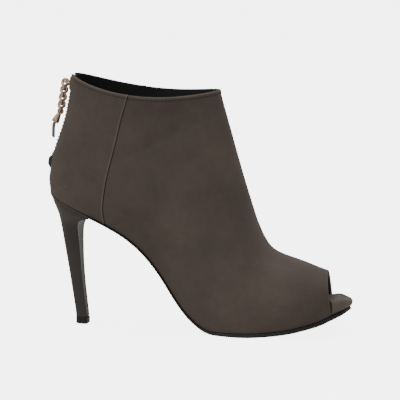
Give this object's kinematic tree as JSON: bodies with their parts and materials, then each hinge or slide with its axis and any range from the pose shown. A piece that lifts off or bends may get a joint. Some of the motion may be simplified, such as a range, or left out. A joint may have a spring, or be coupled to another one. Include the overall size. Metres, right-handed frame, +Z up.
{
  "type": "heeled ankle boot, right, open toe",
  "caption": "High-heeled ankle boot with an open toe, slim heel, back zip with a chain pull, and a low hidden platform.",
  "frame": {"origin": "centre of the heel tip's bottom face, on the floor", "axes": "+X towards the toe, +Y to the inner side of the foot, +Z up"},
  "size_m": [0.2254, 0.0792, 0.1852],
  "materials": {
    "mottled_leather": "matt, mottled",
    "heel_leather": "satin",
    "rim_leather": "satin",
    "strip_leather": "matt",
    "sock_lining": "matt",
    "sole": "satin",
    "tip": "matt",
    "tape": "woven",
    "zip_metal": "aged",
    "chain_metal": "polished rose"
  },
  "bodies": {
    "boot": {"upper": "mottled_leather", "outsole": "sole", "platform": "rim_leather", "insole": "sock_lining", "heel": "heel_leather", "heel_tip": "tip", "zip_tape": "tape", "zip_teeth": "zip_metal", "zip_slider": "zip_metal", "zip_stop": "zip_metal", "zip_guard": "mottled_leather"},
    "pull": {"pull_link_1": "chain_metal", "pull_link_2": "chain_metal", "pull_link_3": "chain_metal", "pull_link_4": "chain_metal", "pull_cap": "chain_metal", "pull_strip": "strip_leather"}
  },
  "joints": [
    {"name": "pull_swing", "type": "hinge", "parent": "boot", "child": "pull", "pos_m": [-0.01193, 0, 0.17851], "axis": [0, 1, 0], "range_deg": [0, 130]}
  ]
}
